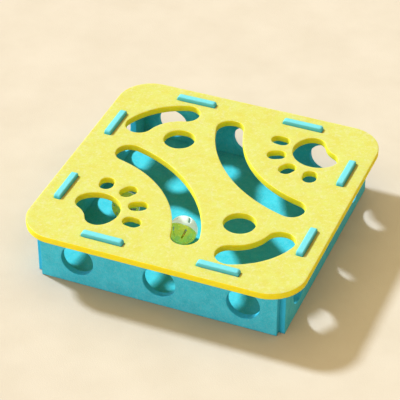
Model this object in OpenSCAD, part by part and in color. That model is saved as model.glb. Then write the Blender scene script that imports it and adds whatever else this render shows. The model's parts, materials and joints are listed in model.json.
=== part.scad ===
// Square felt play box for a cat. A lid with cut-outs sits on a tray that is folded up from one
// cross-shaped sheet, tabs on the tray's walls lock through slots in the lid, and slotted balls
// with a bell inside roll on the tray's floor.
// Millimetres, +Z up, origin on the ground under the middle of the box, front wall towards -Y.

/* [Felt] */
// Thickness of the felt of the lid and the tray
felt_t = 7.5; // [5:0.5:9]

/* [Lid] */
// Side of the square lid
lid_w = 300; // [285:1:330]
// Radius of the lid's corners
lid_r = 38; // [20:1:44]
// Height of the lid's top above the ground
lid_top = 63.5; // [58:0.5:75]
// Reach of the lid past the walls
overhang = 15; // [12:0.5:18]
// Shift of the long slots, round holes and paws towards the back right corner
cut_shift = 1.8; // [0:0.1:3]

/* [Walls] */
// Shift of a wall's tabs and holes to the right, seen from outside
wall_shift = 2.6; // [0:0.1:5]

/* [Tabs and slots] */
// Length of a tab along its wall
tab_len = 45; // [36:0.5:56]
// Height of a tab above the lid's top
tab_rise = 4; // [2:0.5:8]
// Distance of each tab from the middle between a wall's two tabs
tab_at = 62.3; // [56:0.1:70]
// Radius of a tab's top corners
tab_r = 3; // [1:0.5:4]
// Clearance of a tab in its slot, on each side
slot_fit = 0.3; // [0.2:0.1:0.8]

/* [Wall holes] */
// Diameter of the round holes in the walls
port_d = 35.5; // [28:0.5:40]
// Distance between neighbouring holes
port_pitch = 90; // [80:1:95]
// Height of the holes' centres above the ground
port_z = 29.5; // [26:0.1:32]

/* [Long slots in the lid] */
// Distance of a slot's convex edge from the middle of the lid
arc_near = 22.4; // [16:0.1:26]
// Width of a slot at its middle
arc_w = 29.2; // [24:0.2:33]
// Radius of the convex edge
arc_convex_r = 168; // [160:0.5:190]
// Radius of the concave edge
arc_concave_r = 132.5; // [120:0.5:145]
// Distance of the round ends from the slot's axis of symmetry
arc_span = 77.5; // [66:0.5:82]

/* [Short slots in the lid] */
// Distance of a slot's convex edge from the lid's corner
bean_inset = 67.9; // [64:0.1:72]
// Width of a slot at its middle
bean_w = 29.6; // [26:0.2:33]
// Radius of the convex edge
bean_convex_r = 78; // [70:0.5:84]
// Radius of the concave edge
bean_concave_r = 41.5; // [38:0.5:48]
// Distance of the round ends from the slot's axis of symmetry
bean_span = 27.7; // [20:0.1:29]

/* [Round holes in the lid] */
// Diameter of a round hole
dot_d = 34; // [26:0.5:40]
// Distance of a round hole's centre from the lid's corner
dot_inset = 132; // [128:0.5:136]

/* [Paw cut-outs in the lid] */
// Distance of a paw's centre from the lid's corner
paw_inset = 84.5; // [80:0.5:90]
// Radius of the pad's round side
pad_r = 28; // [24:0.5:30]
// Radius of the pad's two lobes
lobe_r = 14; // [11:0.5:15]
// Depth of the dent between the lobes
dent = 2.5; // [1:0.1:4]
// Radius of the circle that the toes lie on
toe_ring = 45.5; // [43:0.5:48]
// Angle between neighbouring toes
toe_pitch = 34.7; // [32:0.1:38]
// Length of a toe
toe_len = 20.5; // [17:0.5:24]
// Width of a toe
toe_w = 15.5; // [13:0.5:16.5]

/* [Balls] */
// Outer diameter of a ball
ball_d = 30.5; // [26:0.5:38]
// Wall of a ball's shell
shell_t = 1.4; // [1.2:0.1:2]
// Height of the lap where the two halves snap together
lap_h = 1.2; // [0.8:0.1:1.8]
// Play between the halves in the lap
lap_fit = 0.05; // [0.05:0.01:0.15]
// Openings in each half
window_n = 6; // [4:1:8]
// Width of an opening
window_w = 2.2; // [1.5:0.1:3.5]
// Latitude at which an opening starts
window_low = 16; // [14:1:24]
// Latitude at which an opening ends
window_high = 60; // [45:1:66]
// Clearance under loose pieces: ball on floor, bell in ball, pellet in bell
rest_gap = 0.3; // [0.2:0.05:0.5]
// Place of the middle ball to the right of the floor's middle
middle_ball_x = -10.5; // [-100:0.5:100]
// Place of the middle ball behind the floor's middle
middle_ball_y = -39.5; // [-100:0.5:100]
// Place of the left ball to the right of the floor's middle
left_ball_x = -83; // [-100:0.5:100]
// Place of the left ball behind the floor's middle
left_ball_y = -23.5; // [-100:0.5:100]
// Turn of the middle ball about X
middle_ball_turn = -64; // [-180:1:180]
// Turn of the left ball about X
left_ball_turn = -115; // [-180:1:180]

/* [Bells] */
// Outer diameter of a bell
bell_d = 12; // [10:0.5:13]
// Sheet metal of a bell
bell_t = 0.6; // [0.4:0.1:0.8]
// Width of the crimped rim
rim_w = 0.5; // [0.3:0.1:0.8]
// Height of each half's part of the rim
rim_h = 0.4; // [0.3:0.1:0.6]
// Mean radius of the loop on top
loop_r = 1.6; // [1.2:0.1:2]
// Wire of the loop
loop_wire = 0.8; // [0.6:0.1:1]
// Width of the crossed slits
slit_w = 0.9; // [0.6:0.1:1.2]
// Reach of the slits from the bell's axis
slit_reach = 4; // [3:0.1:4.2]
// Diameter of the round ends of the slits
slit_end_d = 1.6; // [1.2:0.1:2]
// Diameter of the pellet
pellet_d = 3.8; // [3:0.1:4.5]

/* [Hidden] */
$fn = 96;
// Lid and walls
lid_under = lid_top - felt_t;
tray_w = lid_w - 2 * overhang;
wall_len = tray_w - 2 * felt_t;
wall_mid = tray_w / 2 - felt_t / 2;
lid_corner = lid_w / sqrt(2);
cut_over = 1;
// Excess of a slot's round ends, so that they cross its edges cleanly
end_over = 0.02;
// Balls and bells
ball_r = ball_d / 2;
hollow_r = ball_r - shell_t;
lap_r = hollow_r + (shell_t - lap_fit) / 2;
ball_z = felt_t + rest_gap + ball_r;
middle_ball_at = [middle_ball_x, middle_ball_y];
left_ball_at = [left_ball_x, left_ball_y];
bell_r = bell_d / 2;
bell_in_r = bell_r - bell_t;
bell_z = ball_z - (hollow_r - bell_r - rest_gap);
pellet_z = bell_z - (bell_in_r - pellet_d / 2 - rest_gap);

lid_yellow = "#f1ec66";
tray_teal = "#4fbcc4";
cap_clear = "#eef3ee";
cup_green = "#8ac53a";
bell_gold = "#d3a94a";
pellet_steel = "#9a9da1";

// Flat shapes

// Square with round corners, centred
module round_square(w, r) {
    square([w, w - 2 * r], center = true);
    square([w - 2 * r, w], center = true);
    for (x = [-1, 1], y = [-1, 1])
        translate([x * (w / 2 - r), y * (w / 2 - r)])
            circle(r);
}

// Bowed slot with round ends: the convex edge touches the origin and the bow opens towards +X.
// The centres of the round ends lie on the ellipse of points midway between the two edges.
module bowed_slot(w, convex_r, concave_r, span) {
    concave_x = w + concave_r;
    half_axis = (convex_r + concave_r) / 2;
    focus = (convex_r - concave_x) / 2;
    end_x = (convex_r + concave_x) / 2 - half_axis * sqrt(1 - span ^ 2 / (half_axis ^ 2 - focus ^ 2));
    end_far = norm([convex_r - end_x, span]);
    end_r = convex_r - end_far;
    outer_touch = [convex_r - convex_r * (convex_r - end_x) / end_far, convex_r * span / end_far];
    inner_far = norm([concave_x - end_x, span]);
    inner_touch = [concave_x - concave_r * (concave_x - end_x) / inner_far, concave_r * span / inner_far];
    intersection() {
        difference() {
            translate([convex_r, 0]) circle(convex_r);
            translate([concave_x, 0]) circle(concave_r);
        }
        polygon([
            inner_touch, outer_touch, [-cut_over, outer_touch.y],
            [-cut_over, -outer_touch.y], [outer_touch.x, -outer_touch.y], [inner_touch.x, -inner_touch.y]
        ]);
    }
    for (side = [-1, 1])
        translate([end_x, side * span])
            circle(end_r + end_over);
}

// Pad of a paw: round towards -X, two lobes and a shallow dent towards +X
module paw_pad() {
    lobe_y = pad_r - lobe_r;
    dent_x = lobe_r - dent;
    dent_r = (dent_x ^ 2 + lobe_y ^ 2 - lobe_r ^ 2) / (2 * dent);
    touch = lobe_r / (lobe_r + dent_r);
    bridge = [touch * (dent_x + dent_r), lobe_y * (1 - touch)];
    intersection() {
        circle(pad_r);
        translate([-pad_r, -pad_r]) square([pad_r, 2 * pad_r]);
    }
    for (side = [-1, 1])
        translate([0, side * lobe_y])
            circle(lobe_r);
    difference() {
        polygon([[0, -lobe_y], [bridge.x, -bridge.y], bridge, [0, lobe_y]]);
        translate([dent_x + dent_r, 0]) circle(dent_r);
    }
}

// Toe of a paw, long along X
module toe() {
    straight = toe_len - toe_w;
    square([straight, toe_w], center = true);
    for (side = [-1, 1])
        translate([side * straight / 2, 0])
            circle(d = toe_w);
}

// Pad and four toes, with the toes towards -X
module paw() {
    paw_pad();
    for (step = [-1.5:1.5])
        rotate(180 + step * toe_pitch)
            translate([toe_ring, 0])
                toe();
}

// A shape whose +X looks from the lid's middle to a corner, at a distance from that corner
module at_corner(turn, inset) {
    rotate(turn)
        translate([lid_corner - inset, 0])
            children();
}

// Moves shapes off the lid's middle, towards the back right corner
module off_middle() {
    translate(cut_shift * [cos(45), sin(45)])
        children();
}

module lid_cut_outs() {
    for (turn = [45, 225])
        off_middle() {
            rotate(turn)
                translate([arc_near, 0])
                    bowed_slot(arc_w, arc_convex_r, arc_concave_r, arc_span);
            at_corner(turn, paw_inset) paw();
        }
    for (turn = [135, 315]) {
        at_corner(turn, bean_inset)
            mirror([1, 0])
                bowed_slot(bean_w, bean_convex_r, bean_concave_r, bean_span);
        off_middle()
            at_corner(turn, dot_inset)
                circle(d = dot_d);
    }
}

module lid_slots() {
    for (turn = [0:90:270], side = [-1, 1])
        rotate(turn)
            translate([wall_shift + side * tab_at, -wall_mid])
                square([tab_len + 2 * slot_fit, felt_t + 2 * slot_fit], center = true);
}

// Felt pieces

module lid_panel() {
    color(lid_yellow)
        difference() {
            translate([0, 0, lid_under])
                linear_extrude(felt_t)
                    round_square(lid_w, lid_r);
            translate([0, 0, lid_under - cut_over])
                linear_extrude(felt_t + 2 * cut_over) {
                    lid_cut_outs();
                    lid_slots();
                }
        }
}

// Floor of the tray: its edges are bevelled at 45 degrees, where the sheet folds up into a wall
module floor_panel() {
    color(tray_teal)
        for (turn = [0, 90])
            rotate([90, 0, turn])
                linear_extrude(wall_len, center = true)
                    polygon([
                        [-tray_w / 2, 0], [tray_w / 2, 0],
                        [wall_len / 2, felt_t], [-wall_len / 2, felt_t]
                    ]);
}

// Outline of a tab above its wall's top edge
module tab_outline() {
    rise = felt_t + tab_rise;
    translate([-tab_len / 2, -felt_t]) square([tab_len, felt_t + rise - tab_r]);
    translate([tab_r - tab_len / 2, 0]) square([tab_len - 2 * tab_r, rise]);
    for (side = [-1, 1])
        translate([side * (tab_len / 2 - tab_r), rise - tab_r])
            circle(tab_r);
}

// Wall in front, turned about Z to its side: bevelled foot, three round holes and two tabs
module wall(turn) {
    color(tray_teal)
        rotate(turn)
            difference() {
                union() {
                    rotate([90, 0, 90])
                        linear_extrude(wall_len, center = true)
                            polygon([
                                [-tray_w / 2, 0], [-wall_len / 2, felt_t],
                                [-wall_len / 2, lid_under], [-tray_w / 2, lid_under]
                            ]);
                    for (side = [-1, 1])
                        translate([wall_shift + side * tab_at, -wall_len / 2, lid_under])
                            rotate([90, 0, 0])
                                linear_extrude(felt_t)
                                    tab_outline();
                }
                for (step = [-1:1])
                    translate([wall_shift + step * port_pitch, -wall_mid, port_z])
                        rotate([90, 0, 0])
                            cylinder(d = port_d, h = felt_t + 2 * cut_over, center = true);
            }
}

module front_wall() { wall(0); }
module right_wall() { wall(90); }
module back_wall() { wall(180); }
module left_wall() { wall(270); }

// Balls

// Upper half of a hollow ball
module half_shell(out_r, in_r) {
    difference() {
        sphere(out_r);
        sphere(in_r);
        translate([0, 0, -out_r]) cube(2 * out_r, center = true);
    }
}

// Openings along the meridians of the upper half
module windows() {
    reach = 2 * ball_r;
    for (step = [0:window_n - 1])
        rotate([90, 0, step * 360 / window_n])
            linear_extrude(window_w, center = true)
                polygon([
                    [0, 0], reach * [cos(window_low), sin(window_low)],
                    reach * [cos(window_high), sin(window_high)]
                ]);
}

module at_ball(place, turn) {
    translate([place.x, place.y, ball_z])
        rotate([turn, 0, 0])
            children();
}

// Half with the inner tongue of the lap
module ball_cap(place, turn) {
    color(cap_clear)
        at_ball(place, turn)
            difference() {
                union() {
                    half_shell(ball_r, hollow_r);
                    translate([0, 0, -lap_h])
                        difference() {
                            cylinder(r = lap_r, h = lap_h + lap_fit);
                            translate([0, 0, -cut_over]) cylinder(r = hollow_r, h = lap_h + 2 * cut_over);
                        }
                }
                windows();
            }
}

// Half with the rebate that takes the tongue
module ball_cup(place, turn) {
    color(cup_green)
        at_ball(place, turn)
            mirror([0, 0, 1])
                difference() {
                    half_shell(ball_r, hollow_r);
                    translate([0, 0, -cut_over])
                        cylinder(r = lap_r + lap_fit, h = lap_h + lap_fit + cut_over);
                    windows();
                }
}

// Bells

module at_bell(place) {
    translate([place.x, place.y, bell_z])
        children();
}

module bell_half() {
    half_shell(bell_r, bell_in_r);
    difference() {
        cylinder(r = bell_r + rim_w, h = rim_h);
        translate([0, 0, -cut_over]) cylinder(r = bell_in_r, h = rim_h + 2 * cut_over);
    }
}

module bell_top(place) {
    color(bell_gold)
        at_bell(place) {
            bell_half();
            translate([0, 0, bell_r + loop_r])
                rotate([90, 0, 0])
                    rotate_extrude()
                        translate([loop_r, 0])
                            circle(d = loop_wire, $fn = 32);
        }
}

module bell_bottom(place) {
    slit_top = sqrt(bell_in_r ^ 2 - (slit_reach + slit_end_d / 2) ^ 2);
    color(bell_gold)
        at_bell(place)
            mirror([0, 0, 1])
                difference() {
                    bell_half();
                    for (turn = [0, 90])
                        rotate(turn)
                            translate([0, 0, slit_top]) {
                                translate([-slit_reach, -slit_w / 2, 0])
                                    cube([2 * slit_reach, slit_w, bell_r]);
                                for (side = [-1, 1])
                                    translate([side * slit_reach, 0, 0])
                                        cylinder(d = slit_end_d, h = bell_r);
                            }
                }
}

module bell_pellet(place) {
    color(pellet_steel)
        translate([place.x, place.y, pellet_z])
            sphere(d = pellet_d);
}

module middle_ball_cap() { ball_cap(middle_ball_at, middle_ball_turn); }
module middle_ball_cup() { ball_cup(middle_ball_at, middle_ball_turn); }
module middle_bell_top() { bell_top(middle_ball_at); }
module middle_bell_bottom() { bell_bottom(middle_ball_at); }
module middle_bell_pellet() { bell_pellet(middle_ball_at); }

module left_ball_cap() { ball_cap(left_ball_at, left_ball_turn); }
module left_ball_cup() { ball_cup(left_ball_at, left_ball_turn); }
module left_bell_top() { bell_top(left_ball_at); }
module left_bell_bottom() { bell_bottom(left_ball_at); }
module left_bell_pellet() { bell_pellet(left_ball_at); }

lid_panel();
floor_panel();
front_wall();
right_wall();
back_wall();
left_wall();
middle_ball_cap();
middle_ball_cup();
middle_bell_top();
middle_bell_bottom();
middle_bell_pellet();
left_ball_cap();
left_ball_cup();
left_bell_top();
left_bell_bottom();
left_bell_pellet();
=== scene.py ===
import json
import math

import bmesh
import bpy
import numpy as np
from mathutils import Matrix, Vector, geometry, kdtree, noise


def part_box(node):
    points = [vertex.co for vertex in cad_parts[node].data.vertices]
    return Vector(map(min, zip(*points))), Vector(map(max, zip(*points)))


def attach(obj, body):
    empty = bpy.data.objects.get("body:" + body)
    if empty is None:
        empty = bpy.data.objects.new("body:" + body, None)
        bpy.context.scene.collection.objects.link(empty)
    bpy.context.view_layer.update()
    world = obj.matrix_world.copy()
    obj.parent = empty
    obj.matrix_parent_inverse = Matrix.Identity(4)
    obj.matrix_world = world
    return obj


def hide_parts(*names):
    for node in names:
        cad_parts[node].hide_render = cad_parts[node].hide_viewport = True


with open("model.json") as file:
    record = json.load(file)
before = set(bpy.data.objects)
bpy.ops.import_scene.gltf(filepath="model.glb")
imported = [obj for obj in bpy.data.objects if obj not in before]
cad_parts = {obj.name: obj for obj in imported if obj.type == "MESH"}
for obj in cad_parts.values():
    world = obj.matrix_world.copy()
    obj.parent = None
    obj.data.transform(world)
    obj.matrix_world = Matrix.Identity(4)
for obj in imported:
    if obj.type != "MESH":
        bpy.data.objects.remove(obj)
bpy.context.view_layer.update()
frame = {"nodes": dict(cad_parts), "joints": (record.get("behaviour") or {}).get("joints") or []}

mm = 0.001
scene = bpy.context.scene
print("frame loaded:", len(frame["nodes"]), "nodes")

# sizes that the frame gives, in millimetres
lidLow, lidHigh = (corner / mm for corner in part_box("lid_panel"))
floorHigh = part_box("floor_panel")[1] / mm
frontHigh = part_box("front_wall")[1] / mm
feltThick = lidHigh.z - lidLow.z
trayHalf = floorHigh.x  # outside of the walls
wallHalf = frontHigh.x  # half length of a wall
tabTop = frontHigh.z


# camera and light

view = {
    "azimuth": 22.13,
    "elevation": 37.02,
    "roll": 0.03,
    "lens": 159.465,
    "sensor": 36.0,
    "reach": 50.0,
    "place": (0.5537, -1.3807, 1.1594),
}
sun = {
    "towards": (-61.1, 17.9, 58.7),
    "strength": 5.57,
    "angle": 7.0,
    "colour": (0.85, 1.0, 1.07),
}
sky = {
    "strength": 0.70,
    "colour": (1.0, 0.72, 0.55),
}
# the front lamp leaves the rug alone, and a wide lamp above lights the rug alone
lamps = {
    "frontFill": {
        "place": (-0.75, -2.0, 0.42),
        "size": 1.4,
        "power": 22.0,
        "colour": (0.93, 0.85, 1.12),
        "rug": "EXCLUDE",
    },
    "rugFill": {
        "place": (0.0, 0.0, 2.6),
        "size": 6.0,
        "power": 123.0,
        "colour": (1.0, 0.97, 0.40),
        "rug": "INCLUDE",
    },
}


def addObject(name, data):
    made = bpy.data.objects.new(name, data)
    scene.collection.objects.link(made)
    return made


def makeCamera():
    turn, tilt, roll = (math.radians(view[key]) for key in ("azimuth", "elevation", "roll"))
    back = Vector((math.sin(turn) * math.cos(tilt), -math.cos(turn) * math.cos(tilt), math.sin(tilt)))
    level = Vector((math.cos(turn), math.sin(turn), 0.0))
    right = math.cos(roll) * level + math.sin(roll) * back.cross(level)
    facing = Matrix((right, back.cross(right), back)).transposed()
    data = bpy.data.cameras.new("camera")
    data.lens = view["lens"]
    data.sensor_width = view["sensor"]
    data.clip_end = view["reach"]
    camera = addObject("camera", data)
    camera.matrix_world = Matrix.Translation(view["place"]) @ facing.to_4x4()
    scene.camera = camera
    scene.view_settings.view_transform = "Standard"


# turns a lamp so that it shines from a place towards the middle of the box
def aim(lamp, place):
    lamp.rotation_mode = "QUATERNION"
    lamp.rotation_quaternion = Vector(place).to_track_quat("Z", "Y")


def makeSun():
    data = bpy.data.lights.new("windowSun", "SUN")
    data.energy = sun["strength"]
    data.angle = math.radians(sun["angle"])
    data.color = sun["colour"]
    aim(addObject("windowSun", data), sun["towards"])


def makeLamp(name, plane):
    values = lamps[name]
    data = bpy.data.lights.new(name, "AREA")
    data.energy = values["power"]
    data.size = values["size"]
    data.color = values["colour"]
    lamp = addObject(name, data)
    lamp.location = values["place"]
    aim(lamp, values["place"])
    linked = bpy.data.collections.new(name + "Floor")
    linked.objects.link(plane)
    linked.collection_objects[0].light_linking.link_state = values["rug"]
    lamp.light_linking.receiver_collection = linked


def makeSky():
    world = bpy.data.worlds.new("roomLight")
    world.use_nodes = True
    background = world.node_tree.nodes["Background"]
    background.inputs["Color"].default_value = (*sky["colour"], 1.0)
    background.inputs["Strength"].default_value = sky["strength"]
    scene.world = world


# node helpers

# feeds a node's inputs, each with another node's output or with a plain value
def feed(tree, node, values):
    for key, value in values.items():
        socket = node.inputs[key]
        if isinstance(value, bpy.types.NodeSocket):
            tree.links.new(value, socket)
        elif socket.type == "RGBA":
            socket.default_value = (*value, 1.0)
        else:
            socket.default_value = value


def addNode(tree, kind, inputs, **settings):
    node = tree.nodes.new(kind)
    for key, value in settings.items():
        setattr(node, key, value)
    feed(tree, node, inputs)
    return node


def newMaterial(name):
    made = bpy.data.materials.new(name)
    made.use_nodes = True
    return made, made.node_tree, made.node_tree.nodes["Principled BSDF"]


def newGroup(name, inputs, outputs):
    group = bpy.data.node_groups.new(name, "ShaderNodeTree")
    for label, default in inputs.items():
        socket = group.interface.new_socket(label, in_out="INPUT", socket_type="NodeSocketFloat")
        socket.default_value = default
    for label in outputs:
        group.interface.new_socket(label, in_out="OUTPUT", socket_type="NodeSocketFloat")
    return group, group.nodes.new("NodeGroupInput").outputs, group.nodes.new("NodeGroupOutput")


def placeGroup(tree, group, values):
    return addNode(tree, "ShaderNodeGroup", values, node_tree=group).outputs


def readPlace(tree):
    return addNode(tree, "ShaderNodeTexCoord", {}).outputs["Object"]


def readValues(tree, label):
    return addNode(tree, "ShaderNodeAttribute", {}, attribute_name=label).outputs["Fac"]


def addNoise(tree, vector, scale, detail=2.0, rough=0.55, output="Fac"):
    node = addNode(tree, "ShaderNodeTexNoise", {
        "Vector": vector, "Scale": scale, "Detail": detail, "Roughness": rough})
    return node.outputs[output]


def addRange(tree, value, fromRange, toRange=(0.0, 1.0)):
    node = addNode(tree, "ShaderNodeMapRange", {
        "Value": value,
        "From Min": fromRange[0], "From Max": fromRange[1],
        "To Min": toRange[0], "To Max": toRange[1]})
    return node.outputs["Result"]


def addMath(tree, operation, *values):
    return addNode(tree, "ShaderNodeMath", dict(enumerate(values)), operation=operation).outputs["Value"]


def addVector(tree, operation, inputs):
    return addNode(tree, "ShaderNodeVectorMath", inputs, operation=operation).outputs["Vector"]


# the colour sockets of this node are reached by number, because their names repeat
def addMix(tree, share, first, second):
    node = addNode(tree, "ShaderNodeMix", {"Factor": share, 6: first, 7: second}, data_type="RGBA")
    return node.outputs[2]


def addBump(tree, height, strength, distance, normal=None):
    inputs = {"Height": height, "Strength": strength, "Distance": distance}
    if normal is not None:
        inputs["Normal"] = normal
    return addNode(tree, "ShaderNodeBump", inputs).outputs["Normal"]


# light that goes into felt or plastic and comes out beside
def feedGlow(tree, shader, values):
    feed(tree, shader, {
        "Subsurface Weight": values["glow"],
        "Subsurface Radius": values["glowColour"],
        "Subsurface Scale": values["glowReach"],
    })


# pressed fibres lying every way: thin streaks, cloudy colour and a height for bump
fibreMat = {
    "inputs": {"Fibre Scale": 1300.0, "Cloud Scale": 80.0, "Fleck Scale": 260.0},
    "turns": ((10, 20, 5), (75, -15, 50), (-35, 60, 100), (25, 80, 150), (-70, 10, 25)),
    "slim": 0.09,  # width of a strand over its length
    "curlScale": 220.0,
    "curl": 2.2 * mm,
    "strand": (0.60, 0.74),
    "cloud": (0.32, 0.68),
    "fleck": (0.50, 0.72),
    "strandHeight": 0.5,
}


def makeFibreGroup():
    group, given, out = newGroup("pressedFibres", fibreMat["inputs"], ("Fibre", "Cloud", "Fleck", "Height"))
    place = readPlace(group)
    curl = addNoise(group, place, fibreMat["curlScale"], detail=1.0, output="Color")
    swing = addVector(group, "SUBTRACT", {0: curl, 1: (0.5, 0.5, 0.5)})
    bent = addVector(group, "MULTIPLY_ADD", {0: swing, 1: (fibreMat["curl"],) * 3, 2: place})
    layers = []
    for turn in fibreMat["turns"]:
        laid = addNode(group, "ShaderNodeMapping", {
            "Vector": bent,
            "Rotation": [math.radians(angle) for angle in turn],
            "Scale": (1.0, 1.0 / fibreMat["slim"], 1.0),
        }, vector_type="TEXTURE").outputs["Vector"]
        layers.append(addNoise(group, laid, given["Fibre Scale"], detail=1.0))
    strands = addRange(group, layers[0], fibreMat["strand"])
    total = layers[0]
    for layer in layers[1:]:
        strands = addMath(group, "MAXIMUM", strands, addRange(group, layer, fibreMat["strand"]))
        total = addMath(group, "ADD", total, layer)
    mean = addMath(group, "DIVIDE", total, float(len(layers)))
    cloud = addNoise(group, place, given["Cloud Scale"], detail=4.0, rough=0.62)
    fleck = addNoise(group, bent, given["Fleck Scale"], detail=3.0, rough=0.6)
    feed(group, out, {
        "Fibre": strands,
        "Cloud": addRange(group, cloud, fibreMat["cloud"]),
        "Fleck": addRange(group, fleck, fibreMat["fleck"]),
        "Height": addMath(group, "MULTIPLY_ADD", strands, fibreMat["strandHeight"], mean),
    })
    return group


# cut edge of a felt sheet: a mask, and layers that run along the sheet
cutLayers = {
    "inputs": {"Layer Scale": 260.0, "Layers": 7.0},
    "layer": (0.3, 0.7),
}


def makeCutGroup():
    group, given, out = newGroup("cutLayers", cutLayers["inputs"], ("Edge", "Layer"))
    along = addVector(group, "SCALE", {0: readPlace(group), "Scale": given["Layer Scale"]})
    depth = addMath(group, "MULTIPLY", readValues(group, "sheetDepth"), given["Layers"])
    stacked = addNode(group, "ShaderNodeCombineXYZ", dict.fromkeys("XYZ", depth)).outputs["Vector"]
    shifted = addVector(group, "ADD", {0: along, 1: stacked})
    layer = addNoise(group, shifted, 1.0, detail=3.0, rough=0.6)
    feed(group, out, {
        "Edge": readValues(group, "cutEdge"),
        "Layer": addRange(group, layer, cutLayers["layer"]),
    })
    return group


# fine wear and soft clouds on plastic and metal
wearMarks = {
    "inputs": {"Wear Scale": 420.0, "Wear Roughness": 0.6, "Cloud Scale": 130.0},
}


def makeWearGroup():
    group, given, out = newGroup("wearMarks", wearMarks["inputs"], ("Wear", "Cloud"))
    place = readPlace(group)
    feed(group, out, {
        "Wear": addNoise(group, place, given["Wear Scale"], detail=4.0, rough=given["Wear Roughness"]),
        "Cloud": addNoise(group, place, given["Cloud Scale"]),
    })
    return group


# rug under the box

rug = {
    "half": 4.0,
    "drop": 0.2 * mm,
    "colour": (0.410, 0.359, 0.329),
    "deep": (0.389, 0.338, 0.305),
    "patchScale": 14.0,
    "patch": (0.35, 0.65),
    "pileScale": 900.0,
    "pileBump": 0.35,
    "pileHeight": 0.6 * mm,
    "rough": 0.95,
    "shine": 0.1,
}


def rugFinish():
    made, tree, shader = newMaterial("paleRug")
    place = readPlace(tree)
    patch = addRange(tree, addNoise(tree, place, rug["patchScale"], detail=3.0), rug["patch"])
    pile = addNoise(tree, place, rug["pileScale"])
    feed(tree, shader, {
        "Base Color": addMix(tree, patch, rug["deep"], rug["colour"]),
        "Normal": addBump(tree, pile, rug["pileBump"], rug["pileHeight"]),
        "Roughness": rug["rough"],
        "Specular IOR Level": rug["shine"],
    })
    return made


def makeRug():
    half, low = rug["half"], -rug["drop"]
    corners = [(-half, -half, low), (half, -half, low), (half, half, low), (-half, half, low)]
    mesh = bpy.data.meshes.new("paleRug")
    mesh.from_pydata(corners, [], [(0, 1, 2, 3)])
    mesh.materials.append(rugFinish())
    plane = addObject("paleRug", mesh)
    return plane


makeCamera()
rugPlane = makeRug()
makeSun()
for lampName in lamps:
    makeLamp(lampName, rugPlane)
makeSky()
fibreGroup = makeFibreGroup()
cutGroup = makeCutGroup()
wearGroup = makeWearGroup()
print("camera, light, floor and node groups made")


# felt finishes

lidFelt = {
    "name": "lemonFelt",
    "deep": (0.495, 0.456, 0.062),
    "base": (0.495, 0.499, 0.104),
    "pale": (0.55, 0.54, 0.30),
    "fleck": (0.55, 0.55, 0.33),
    # partly the deeper gold of the cut fibres and partly painted light: brightened so the shaded cut walls
    # look lit
    "cut": (0.88, 0.80, 0.002),
    "fibreShare": 0.30,
    "fleckShare": 0.38,
    "cutShare": 0.95,
    "sheen": 0.09,
    "sheenTint": (1.0, 1.0, 0.72),
    "glow": 0.35,
    "glowReach": 5.0 * mm,
    "glowColour": (1.0, 0.70, 0.05),
    "cloudScale": 75.0,
    "fibreScale": 1300.0,
    "bump": 0.30,
}
trayFelt = {
    "name": "tealFelt",
    "deep": (0.033, 0.455, 0.545),
    "base": (0.049, 0.545, 0.645),
    "pale": (0.21, 0.60, 0.64),
    "fleck": (0.16, 0.555, 0.615),
    # partly the cut fibres and partly painted shade: darker and bluer for the shaded rims of the ports
    "cut": (0.028, 0.48, 0.70),
    "paintedTabLight": (0.142, 0.54, 0.55),  # painted highlight: paler ends of the tabs, where they stand in the sun
    "fibreShare": 0.35,
    "fleckShare": 0.35,
    "cutShare": 0.9,
    "sheen": 0.09,
    "sheenTint": (0.75, 1.0, 1.0),
    "cloudScale": 80.0,
    "fibreScale": 1300.0,
    "bump": 0.30,
}
feltFace = {
    "layerShare": (0.75, 1.0),  # how much of the cut's colour shows between its layers and on them
    "rough": (0.98, 0.86),
    "shine": 0.12,
    "sheenRough": 0.45,
    "fibreHeight": 0.4 * mm,
    "layerBump": 0.5,
    "layerHeight": 0.5 * mm,
}


def feltFinish(felt):
    made, tree, shader = newMaterial(felt["name"])
    fibres = placeGroup(tree, fibreGroup, {
        "Fibre Scale": felt["fibreScale"], "Cloud Scale": felt["cloudScale"]})
    cut = placeGroup(tree, cutGroup, {})
    layers = addRange(tree, cut["Layer"], (0.0, 1.0), feltFace["layerShare"])
    masks = {
        "pale": addMath(tree, "MULTIPLY", fibres["Fibre"], felt["fibreShare"]),
        "fleck": addMath(tree, "MULTIPLY", fibres["Fleck"], felt["fleckShare"]),
        # cut colour: partly the cut fibres, partly painted light on the lid and painted shade on the tray
        "cut": addMath(tree, "MULTIPLY", addMath(tree, "MULTIPLY", cut["Edge"], layers), felt["cutShare"]),
    }
    # painted highlight on the ends of the tabs
    if "paintedTabLight" in felt:
        masks["paintedTabLight"] = readValues(tree, "paintedTabLight")
    colour = addMix(tree, fibres["Cloud"], felt["deep"], felt["base"])
    for tone, mask in masks.items():
        colour = addMix(tree, mask, colour, felt[tone])
    layerHeight = addMath(tree, "MULTIPLY", cut["Layer"], cut["Edge"])
    normal = addBump(tree, layerHeight, feltFace["layerBump"], feltFace["layerHeight"])
    normal = addBump(tree, fibres["Height"], felt["bump"], feltFace["fibreHeight"], normal)
    feed(tree, shader, {
        "Base Color": colour,
        "Roughness": addRange(tree, fibres["Cloud"], (0.0, 1.0), feltFace["rough"]),
        "Normal": normal,
        "Specular IOR Level": feltFace["shine"],
        "Sheen Weight": felt["sheen"],
        "Sheen Roughness": feltFace["sheenRough"],
        "Sheen Tint": felt["sheenTint"],
    })
    if "glow" in felt:
        feedGlow(tree, shader, felt)
    return made


# outlines in the plane of a felt sheet, in millimetres

outline = {"step": 2.2, "fineTurn": 12.0, "same": 0.02}


def arc(centre, radius, start, end):
    turn = abs(end - start)
    count = math.ceil(max(math.radians(turn) * radius / outline["step"], turn / outline["fineTurn"]))
    angles = np.radians(np.linspace(start, end, max(count, 1) + 1))
    return [(centre[0] + radius * math.cos(a), centre[1] + radius * math.sin(a)) for a in angles]


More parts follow.
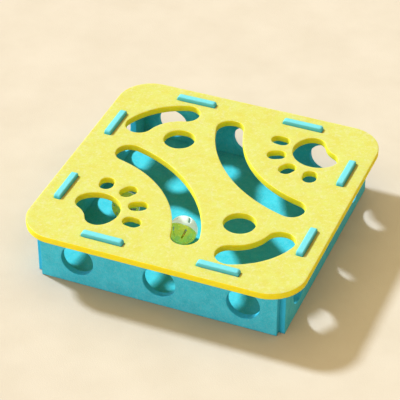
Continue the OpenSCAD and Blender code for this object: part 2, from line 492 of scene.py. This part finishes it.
# drops repeated points and cuts long sides into even steps
def closeLoop(points):
    kept = [np.array(points[0], float)]
    for point in points[1:] + points[:1]:
        start, end = kept[-1], np.array(point, float)
        length = np.linalg.norm(end - start)
        if length < outline["same"]:
            continue
        count = max(1, round(length / outline["step"]))
        kept += [start + (end - start) * k / count for k in range(1, count + 1)]
    if np.linalg.norm(kept[-1] - kept[0]) < outline["same"]:
        kept.pop()
    return np.array(kept)


# shifts points, and then turns them about the middle
def place2d(points, turn=0.0, shift=(0.0, 0.0), mirror=False):
    cosine, sine = math.cos(math.radians(turn)), math.sin(math.radians(turn))
    moved = []
    for x, y in points:
        x = (-x if mirror else x) + shift[0]
        y = y + shift[1]
        moved.append((cosine * x - sine * y, sine * x + cosine * y))
    return moved


def roundBox(halfX, halfY, radius):
    points = []
    for x, y, start in ((1, 1, 0), (-1, 1, 90), (-1, -1, 180), (1, -1, 270)):
        points += arc((x * (halfX - radius), y * (halfY - radius)), radius, start, start + 90)
    return points


# slot between a convex and a concave edge, with round ends midway between them
def bowedSlot(width, convexRadius, concaveRadius, span):
    concaveX = width + concaveRadius
    halfAxis = (convexRadius + concaveRadius) / 2
    focus = (convexRadius - concaveX) / 2
    reach = halfAxis * math.sqrt(1 - span ** 2 / (halfAxis ** 2 - focus ** 2))
    endX = (convexRadius + concaveX) / 2 - reach
    endRadius = convexRadius - math.hypot(convexRadius - endX, span)
    outer = math.degrees(math.atan2(span, endX - convexRadius))
    inner = math.degrees(math.atan2(span, endX - concaveX))
    return (arc((endX, span), endRadius, outer, inner - 180)
            + arc((concaveX, 0), concaveRadius, inner, 360 - inner)
            + arc((endX, -span), endRadius, 180 - inner, -outer)
            + arc((convexRadius, 0), convexRadius, 360 - outer, outer))


lidCuts = {
    "corner": 38.0,
    "shift": 1.8,  # of long slots, round holes and paws towards the back right corner
    "longSlot": {"width": 29.2, "convexRadius": 168.0, "concaveRadius": 132.5, "span": 77.5},
    "longSlotNear": 22.4,
    "shortSlot": {"width": 29.6, "convexRadius": 78.0, "concaveRadius": 41.5, "span": 27.7},
    "shortSlotInset": 67.9,
    "dotDiameter": 34.0,
    "dotInset": 132.0,
    "pawInset": 84.5,
    "padRadius": 28.0,
    "lobeRadius": 14.0,
    "dent": 2.5,
    "toeRing": 45.5,
    "toePitch": 34.7,
    "toeLength": 20.5,
    "toeWidth": 15.5,
}
wallCuts = {
    "shift": 2.6,  # of a wall's tabs and ports to the right, seen from outside
    "tabAt": 62.3,
    "tabLength": 45.0,
    "tabCorner": 3.0,
    "slotFit": 0.3,
    "slotCorner": 0.8,
    "portDiameter": 35.5,
    "portPitch": 90.0,
    "portHeight": 29.5,
    "cornerMeet": 0.9,  # overlap where the sheets fold into each other
    "floorCorner": 2.0,
}


def pawPad():
    radius, lobe, dent = lidCuts["padRadius"], lidCuts["lobeRadius"], lidCuts["dent"]
    lobeY = radius - lobe
    dentX = lobe - dent
    dentRadius = (dentX ** 2 + lobeY ** 2 - lobe ** 2) / (2 * dent)
    lean = math.degrees(math.atan2(lobeY, dentX + dentRadius))
    return (arc((0, 0), radius, 90, 270)
            + arc((0, -lobeY), lobe, -90, lean)
            + arc((dentX + dentRadius, 0), dentRadius, 180 + lean, 180 - lean)
            + arc((0, lobeY), lobe, -lean, 90))


def pawHoles():
    halfLong, halfWide = lidCuts["toeLength"] / 2, lidCuts["toeWidth"] / 2
    toe = place2d(roundBox(halfLong, halfWide, halfWide), shift=(lidCuts["toeRing"], 0))
    turns = [180 + step * lidCuts["toePitch"] for step in (-1.5, -0.5, 0.5, 1.5)]
    return [pawPad()] + [place2d(toe, turn) for turn in turns]


def tabSlots():
    fit = wallCuts["slotFit"]
    slot = roundBox(wallCuts["tabLength"] / 2 + fit, feltThick / 2 + fit, wallCuts["slotCorner"])
    places = [wallCuts["shift"] + side * wallCuts["tabAt"] for side in (-1, 1)]
    return [place2d(slot, turn, (along, feltThick / 2 - trayHalf))
            for turn in (0, 90, 180, 270) for along in places]


def lidHoles():
    lidCorner = lidHigh.x * math.sqrt(2)
    aside = lidCuts["shift"] * math.sqrt(0.5)
    holes = []
    for turn in (45, 225):
        holes.append(place2d(bowedSlot(**lidCuts["longSlot"]), turn, (lidCuts["longSlotNear"], 0)))
        holes += [place2d(hole, turn, (lidCorner - lidCuts["pawInset"], 0)) for hole in pawHoles()]
    for turn in (135, 315):
        dot = arc((0, 0), lidCuts["dotDiameter"] / 2, 0, 360)
        holes.append(place2d(dot, turn, (lidCorner - lidCuts["dotInset"], 0)))
    holes = [place2d(hole, 0, (aside, aside)) for hole in holes]
    for turn in (135, 315):
        slot = place2d(bowedSlot(**lidCuts["shortSlot"]), mirror=True)
        holes.append(place2d(slot, turn, (lidCorner - lidCuts["shortSlotInset"], 0)))
    return holes + tabSlots()


def wallOutline():
    half, top, radius = wallCuts["tabLength"] / 2, lidLow.z, wallCuts["tabCorner"]
    end = wallHalf + wallCuts["cornerMeet"]
    points = [(-end, 0), (end, 0), (end, top)]
    for side in (1, -1):
        middle = wallCuts["shift"] + side * wallCuts["tabAt"]
        right, left = middle + half, middle - half
        points.append((right, top))
        points += arc((right - radius, tabTop - radius), radius, 0, 90)
        points += arc((left + radius, tabTop - radius), radius, 90, 180)
        points.append((left, top))
    points.append((-end, top))
    return points


def portHoles():
    radius, height = wallCuts["portDiameter"] / 2, wallCuts["portHeight"]
    middles = [wallCuts["shift"] + step * wallCuts["portPitch"] for step in (-1, 0, 1)]
    return [arc((middle, height), radius, 0, 360) for middle in middles]


# felt sheets as closed meshes with soft edges and a slightly uneven face

sheetMake = {
    "soft": 0.7,  # radius of the edges
    "tabSoft": 1.3,  # radius of the edges of a tab's end
    "softRows": 4,
    "sideRows": 4,
    "grid": 3.2,  # distance of the points on the face
    "gridRow": 0.87,  # distance of their rows, as a share of that
    "clear": 1.6,  # distance of the face's points from its edge
    "sharpest": 0.6,  # limits the inset at a sharp corner
    "merge": 1e-6,
    "cutReach": 0.6,  # share of an edge's rounding that shows the cut
    "warp": 0.25, "warpSize": 75.0,  # slow lift and fall of the whole sheet
    "lump": 0.10, "lumpSize": 9.0,  # uneven thickness
    "fray": 0.10, "fraySize": 3.5,  # uneven cut edge
    "lumpSeed": 7.3,
    "lidSeed": 3.0,
    "floorSeed": 11.0,
    "wallSeed": 20.0,
}


def signedArea(points):
    x, y = points[:, 0], points[:, 1]
    return 0.5 * np.sum(x * np.roll(y, -1) - y * np.roll(x, -1))


def inside(points, loop):
    x, y = points[:, 0:1], points[:, 1:2]
    ax, ay = loop[:, 0], loop[:, 1]
    bx, by = np.roll(ax, -1), np.roll(ay, -1)
    rise = np.where(by == ay, 1e-12, by - ay)
    crossing = ((ay > y) != (by > y)) & (x < (bx - ax) * (y - ay) / rise + ax)
    return crossing.sum(1) % 2 == 1


# outer edge anticlockwise and holes clockwise, so that the felt is on the left of each
def sheetLoops(outer, holes):
    loops = []
    for number, points in enumerate((outer, *holes)):
        loop = closeLoop(points)
        anticlockwise = signedArea(loop) > 0
        loops.append(loop if anticlockwise == (number == 0) else loop[::-1])
    return loops


# sides of all loops as pairs of point numbers
def loopSides(loops):
    sides, start = [], 0
    for loop in loops:
        count = len(loop)
        sides += [(start + k, start + (k + 1) % count) for k in range(count)]
        start += count
    return sides


def leftOf(sides):
    return np.c_[-sides[:, 1], sides[:, 0]] / np.linalg.norm(sides, axis=1)[:, None]


# direction into the felt at each point, long enough to keep an even inset round a corner
def inward(points):
    before = leftOf(points - np.roll(points, 1, 0))
    after = leftOf(np.roll(points, -1, 0) - points)
    mean = before + after
    mean /= np.linalg.norm(mean, axis=1)[:, None]
    return mean / np.maximum(np.sum(mean * before, 1), sheetMake["sharpest"])[:, None]


# rings round an edge from the upper face to the lower one, as insets and heights
def edgeRings(soft):
    turns = np.linspace(0, math.pi / 2, sheetMake["softRows"] + 1)
    upper = [(soft * (1 - math.sin(a)), feltThick - soft * (1 - math.cos(a))) for a in turns]
    lower = [(inset, feltThick - height) for inset, height in reversed(upper)]
    steps = np.linspace(0, 1, sheetMake["sideRows"] + 2)[1:-1]
    side = [(np.zeros_like(soft), feltThick - soft - step * (feltThick - 2 * soft)) for step in steps]
    return upper + side + lower


def facePoints(loops):
    low, high = loops[0].min(0), loops[0].max(0)
    step = sheetMake["grid"]
    rows = []
    for row, y in enumerate(np.arange(low[1], high[1], step * sheetMake["gridRow"])):
        xs = np.arange(low[0] + (row % 2) * step / 2, high[0], step)
        rows.append(np.c_[xs, np.full(len(xs), y)])
    points = np.concatenate(rows)
    keep = inside(points, loops[0])
    for loop in loops[1:]:
        keep &= ~inside(points, loop)
    edge = np.concatenate(loops)
    tree = kdtree.KDTree(len(edge))
    for index, point in enumerate(edge):
        tree.insert((*point, 0.0), index)
    tree.balance()
    return np.array([point for point in points[keep] if tree.find((*point, 0.0))[2] > sheetMake["clear"]])


def faceTriangles(name, loops, grid, sides):
    points = np.concatenate(loops + [grid])
    made = geometry.delaunay_2d_cdt([Vector(point) for point in points], sides, [], 1, sheetMake["merge"])
    if len(made[0]) != len(points):
        raise ValueError(name + ": the face has crossing edges")
    triangles = np.array(made[2])
    middles = points[triangles].mean(1)
    inHole = np.zeros(len(triangles), bool)
    for loop in loops[1:]:
        near = np.all((middles > loop.min(0)) & (middles < loop.max(0)), axis=1)
        inHole[near] |= inside(middles[near], loop)
    return triangles[~inHole]


# both faces, then the strips between the rings of the edge
def sheetFaces(triangles, sides, ringCount, ringSize, gridSize):
    lastRing = (ringCount - 1) * ringSize
    gridTop = ringCount * ringSize
    onEdge = triangles < ringSize
    onGrid = triangles - ringSize + gridTop
    top = np.where(onEdge, triangles, onGrid)
    low = np.where(onEdge, triangles + lastRing, onGrid + gridSize)[:, ::-1]
    faces = [tuple(int(v) for v in face) for face in np.concatenate((top, low))]
    for upper in range(0, lastRing, ringSize):
        lower = upper + ringSize
        faces += [(upper + b, upper + a, lower + a, lower + b) for a, b in sides]
    return faces


# lifts the sheet here and there, varies its thickness and frays its cut edges
def makeUneven(vertices, depth, cutEdge, push, seed):
    warp, lump, fray = (1.0 / sheetMake[key] for key in ("warpSize", "lumpSize", "fraySize"))
    for number, (x, y, z) in enumerate(vertices):
        lumpSeed = seed + sheetMake["lumpSeed"] + round(depth[number])
        lift = noise.noise((x * warp, y * warp, seed)) * sheetMake["warp"]
        swell = noise.noise((x * lump, y * lump, lumpSeed)) * sheetMake["lump"]
        ragged = noise.noise((x * fray, y * fray, z * fray + seed)) * sheetMake["fray"] * cutEdge[number]
        vertices[number, :2] -= push[number] * ragged
        vertices[number, 2] += lift + swell * (2 * depth[number] - 1)


def storeValues(mesh, label, values):
    attribute = mesh.attributes.new(label, "FLOAT", "POINT")
    attribute.data.foreach_set("value", values.astype(np.float32))


def addSmooth(name, mesh, finishes):
    mesh.polygons.foreach_set("use_smooth", [True] * len(mesh.polygons))
    for finish in finishes:
        mesh.materials.append(finish)
    mesh.update()
    return addObject(name, mesh)


def evenSoft(points):
    return np.full(len(points), sheetMake["soft"])


# the ends of the tabs are rounder than the rest of a wall
def wallSoft(points):
    return np.interp(points[:, 1], (lidLow.z, lidHigh.z), (sheetMake["soft"], sheetMake["tabSoft"]))


def feltSheet(name, outer, holes, place, finish, seed, softAt=evenSoft):
    loops = sheetLoops(outer, holes)
    sides = loopSides(loops)
    normals = [inward(loop) for loop in loops]
    softs = [softAt(loop) for loop in loops]
    flat = [loop + normal * soft[:, None] for loop, normal, soft in zip(loops, normals, softs)]
    grid = facePoints(flat)
    triangles = faceTriangles(name, flat, grid, sides)

    # rings of the edge from top to bottom, then the points of the top and bottom faces
    edge, normal, soft = (np.concatenate(part) for part in (loops, normals, softs))
    rings = edgeRings(soft)
    vertices = [np.c_[edge + normal * inset[:, None], height] for inset, height in rings]
    cutEdge = [np.maximum(0, 1 - inset / (sheetMake["cutReach"] * soft)) for inset, _ in rings]
    for height in (feltThick, 0.0):
        vertices.append(np.c_[grid, np.full(len(grid), height)])
        cutEdge.append(np.zeros(len(grid)))
    vertices, cutEdge = np.concatenate(vertices), np.concatenate(cutEdge)
    push = np.concatenate([normal] * len(rings) + [np.zeros((2 * len(grid), 2))])
    depth = vertices[:, 2] / feltThick
    makeUneven(vertices, depth, cutEdge, push, seed)

    mesh = bpy.data.meshes.new(name)
    faces = sheetFaces(triangles, sides, len(rings), len(edge), len(grid))
    mesh.from_pydata([tuple(v) for v in vertices * mm], [], faces)
    mesh.transform(place)
    storeValues(mesh, "cutEdge", cutEdge)
    storeValues(mesh, "sheetDepth", depth)
    return addSmooth(name, mesh, [finish])


def wallPlace(turn):
    stand = Matrix(((1, 0, 0, 0), (0, 0, -1, (feltThick - trayHalf) * mm), (0, 1, 0, 0), (0, 0, 0, 1)))
    return Matrix.Rotation(math.radians(turn), 4, "Z") @ stand


# painted highlight: the tabs are painted paler where they stand out of the lid
def paintTabLight(wall):
    places = np.empty(3 * len(wall.data.vertices))
    wall.data.vertices.foreach_get("co", places)
    storeValues(wall.data, "paintedTabLight", np.interp(places[2::3] / mm, (lidHigh.z, tabTop), (0.0, 1.0)))


lemonFelt = feltFinish(lidFelt)
tealFelt = feltFinish(trayFelt)

lid = feltSheet("feltLid", roundBox(lidHigh.x, lidHigh.y, lidCuts["corner"]), lidHoles(),
                Matrix.Translation((0, 0, lidLow.z * mm)), lemonFelt, sheetMake["lidSeed"])
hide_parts("lid_panel")
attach(lid, "lid")
print("felt lid:", len(lid.data.polygons), "faces")

floorHalf = trayHalf - feltThick + wallCuts["cornerMeet"]
floor = feltSheet("feltFloor", roundBox(floorHalf, floorHalf, wallCuts["floorCorner"]), [],
                  Matrix.Identity(4), tealFelt, sheetMake["floorSeed"])
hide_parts("floor_panel")
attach(floor, "tray")

for number, side in enumerate(("front", "right", "back", "left")):
    wall = feltSheet(side + "FeltWall", wallOutline(), portHoles(), wallPlace(90 * number),
                     tealFelt, sheetMake["wallSeed"] + number, wallSoft)
    paintTabLight(wall)
    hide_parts(side + "_wall")
    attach(wall, "tray")
print("felt tray made")


# slotted balls with bells in them

shell = {
    "windows": 6,
    "windowWidth": 2.2,
    "windowLow": 16.0,
    "windowHigh": 60.0,
    "wall": 1.4,
    "seam": 0.5,  # latitude of the rim, which leaves a fine seam
    "poleRow": 85.0,
    "ribColumns": 8,
    "rows": (3, 8, 5),  # below, beside and above the windows
}
# painted glow: the left ball lies in the shade of the lid, so its shell gets a weaker painted glow
balls = {
    "middle": {"turn": -64.0, "paintedGlowShare": 1.0},
    "left": {"turn": -115.0, "paintedGlowShare": 0.38},
}
clearPlastic = {
    "name": "ClearPlastic",
    # the cyan-green tint is partly the plastic's and partly painted: it stands for the teal felt seen
    # through the cap
    "colour": (0.80, 0.96, 0.89),
    "shade": (0.72, 0.91, 0.83),
    "through": 0.15,
    "rough": 0.20,
    "glow": 1.0,
    "glowReach": 6.0 * mm,
    "glowColour": (1.0, 1.0, 1.0),
    "inner": 0.28,  # painted glow: emission that stands for the light the thin shell carries
    "paintedGlowColour": (0.93, 1.0, 0.88),
    # painted shade: the inside of the cap is darker and glows less, so that its windows read dark
    "inside": {"colour": (0.34, 0.45, 0.39), "shade": (0.29, 0.39, 0.34), "inner": 0.05},
}
limePlastic = {
    "name": "LimePlastic",
    "colour": (0.80, 0.99, 0.05),
    "shade": (0.46, 0.86, 0.13),
    "through": 0.15,
    "rough": 0.24,
    "glow": 1.0,
    "glowReach": 6.0 * mm,
    "glowColour": (0.8, 1.0, 0.3),
    # painted glow of the lime shell
    "inner": 0.155,
    "paintedGlowColour": (0.75, 1.0, 0.25),
    # painted shade: the inside of the lime shell glows less
    "inside": {"inner": 0.09},
}
plasticFace = {
    "wearScale": 420.0,
    "wearRoughness": 0.6,
    "cloudScale": 130.0,
    "cloud": (0.38, 0.60),
    "scuff": (0.35, 0.7),
    "roughSpread": (0.8, 1.3),
    "bump": 0.03,
    "bumpHeight": 0.1 * mm,
    "refraction": 1.49,
}
bellBrass = {
    "name": "bellBrass",
    "colour": (0.80, 0.56, 0.20),
    "worn": (0.52, 0.33, 0.10),
    "rough": 0.24,
}
pelletSteel = {
    "name": "pelletSteel",
    "colour": (0.62, 0.63, 0.65),
    "worn": (0.40, 0.40, 0.42),
    "rough": 0.28,
}
metalFace = {
    "wearScale": 260.0,
    "wearRoughness": 0.65,
    "worn": (0.4, 0.75),
    "dull": (0.3, 0.7),
    "roughSpread": (0.7, 1.6),
    "bump": 0.1,
    "bumpHeight": 0.1 * mm,
}


def plasticFinish(name, plastic, paintedGlowShare):
    made, tree, shader = newMaterial(name)
    marks = placeGroup(tree, wearGroup, {
        "Wear Scale": plasticFace["wearScale"],
        "Wear Roughness": plasticFace["wearRoughness"],
        "Cloud Scale": plasticFace["cloudScale"],
    })
    cloud = addRange(tree, marks["Cloud"], plasticFace["cloud"])
    roughness = [plastic["rough"] * times for times in plasticFace["roughSpread"]]
    feed(tree, shader, {
        "Base Color": addMix(tree, cloud, plastic["shade"], plastic["colour"]),
        "Roughness": addRange(tree, marks["Wear"], plasticFace["scuff"], roughness),
        "Normal": addBump(tree, marks["Wear"], plasticFace["bump"], plasticFace["bumpHeight"]),
        "IOR": plasticFace["refraction"],
        "Transmission Weight": plastic["through"],
        # painted glow: emission on a shell that is no lamp, weaker on a ball in shade
        "Emission Color": plastic["paintedGlowColour"],
        "Emission Strength": plastic["inner"] * paintedGlowShare,
    })
    feedGlow(tree, shader, plastic)
    return made


def metalFinish(metal):
    made, tree, shader = newMaterial(metal["name"])
    marks = placeGroup(tree, wearGroup, {
        "Wear Scale": metalFace["wearScale"], "Wear Roughness": metalFace["wearRoughness"]})
    worn = addRange(tree, marks["Wear"], metalFace["worn"])
    roughness = [metal["rough"] * times for times in metalFace["roughSpread"]]
    feed(tree, shader, {
        "Base Color": addMix(tree, worn, metal["colour"], metal["worn"]),
        "Roughness": addRange(tree, marks["Wear"], metalFace["dull"], roughness),
        "Normal": addBump(tree, marks["Wear"], metalFace["bump"], metalFace["bumpHeight"]),
        "Metallic": 1.0,
    })
    return made


def shellLatitudes():
    latitudes = [shell["seam"]]
    stops = (shell["windowLow"], shell["windowHigh"], shell["poleRow"])
    for stop, rows in zip(stops, shell["rows"]):
        latitudes += list(np.linspace(latitudes[-1], stop, rows + 1)[1:])
    return latitudes


# points of one latitude, in columns that keep each window's width even
def shellRing(radius, latitude):
    sector = 2 * math.pi / shell["windows"]
    level = math.radians(latitude)
    held = math.radians(min(latitude, shell["windowHigh"]))
    half = math.asin(shell["windowWidth"] / 2 / (radius * math.cos(held)))
    ribs = np.linspace(half, sector - half, shell["ribColumns"] + 1)[:-1]
    angles = [angle + number * sector
              for number in range(shell["windows"]) for angle in (-half, 0.0, *ribs)]
    across, height = radius * math.cos(level), radius * math.sin(level)
    return [(across * math.cos(angle), across * math.sin(angle), height) for angle in angles]


# half of a hollow ball, open at its windows
def shellMesh(name, radius, upper):
    made = bmesh.new()
    rings = [[made.verts.new(point) for point in shellRing(radius, latitude)]
             for latitude in shellLatitudes()]
    below, beside, _ = shell["rows"]
    columns = 2 + shell["ribColumns"]
    for row, (near, far) in enumerate(zip(rings, rings[1:])):
        for column in range(len(near)):
            if below <= row < below + beside and column % columns < 2:
                continue
            after = (column + 1) % len(near)
            made.faces.new((near[column], near[after], far[after], far[column]))
    pole = made.verts.new((0, 0, radius))
    for column, vertex in enumerate(rings[-1]):
        made.faces.new((vertex, rings[-1][(column + 1) % len(rings[-1])], pole))
    for vertex in [v for v in made.verts if not v.link_faces]:
        made.verts.remove(vertex)
    if not upper:
        bmesh.ops.scale(made, vec=(1, 1, -1), verts=made.verts)
        bmesh.ops.reverse_faces(made, faces=made.faces)
    mesh = bpy.data.meshes.new(name)
    made.to_mesh(mesh)
    made.free()
    return mesh


def ballHalf(name, centre, radius, turn, upper, finishes):
    mesh = shellMesh(name, radius, upper)
    mesh.transform(Matrix.Scale(mm, 4))
    mesh.transform(Matrix.Translation(centre) @ Matrix.Rotation(math.radians(turn), 4, "X"))
    half = addSmooth(name, mesh, finishes)
    wall = half.modifiers.new("wall", "SOLIDIFY")
    wall.thickness = shell["wall"] * mm
    wall.offset = -1.0
    wall.material_offset = 1  # the inside has the second finish, with painted shade
    smooth = half.modifiers.new("smooth", "SUBSURF")
    smooth.levels = smooth.render_levels = 1
    return half


brass = metalFinish(bellBrass)
steel = metalFinish(pelletSteel)

for ball, pose in balls.items():
    centre = next(joint["pos_m"] for joint in frame["joints"] if joint["name"] == ball + "_ball_roll")
    low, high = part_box(ball + "_ball_cap")
    radius = (high.x - low.x) / 2 / mm
    for part, plastic, slot in (("cap", clearPlastic, "ball_clear"), ("cup", limePlastic, "ball_green")):
        name = ball + plastic["name"]
        # the second finish is the inside of the shell, with painted shade
        finishes = (plasticFinish(name, plastic, pose["paintedGlowShare"]),
                    plasticFinish(name + "Inside", {**plastic, **plastic["inside"]}, pose["paintedGlowShare"]))
        half = ballHalf(ball + "Ball" + part.capitalize(), centre, radius, pose["turn"],
                        part == "cap", finishes)
        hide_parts(ball + "_ball_" + part)
        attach(half, ball + "_ball")
    for part, finish in (("top", brass), ("bottom", brass), ("pellet", steel)):
        node = frame["nodes"][ball + "_bell_" + part]
        node.material_slots[0].material = finish
print("balls and bells made")
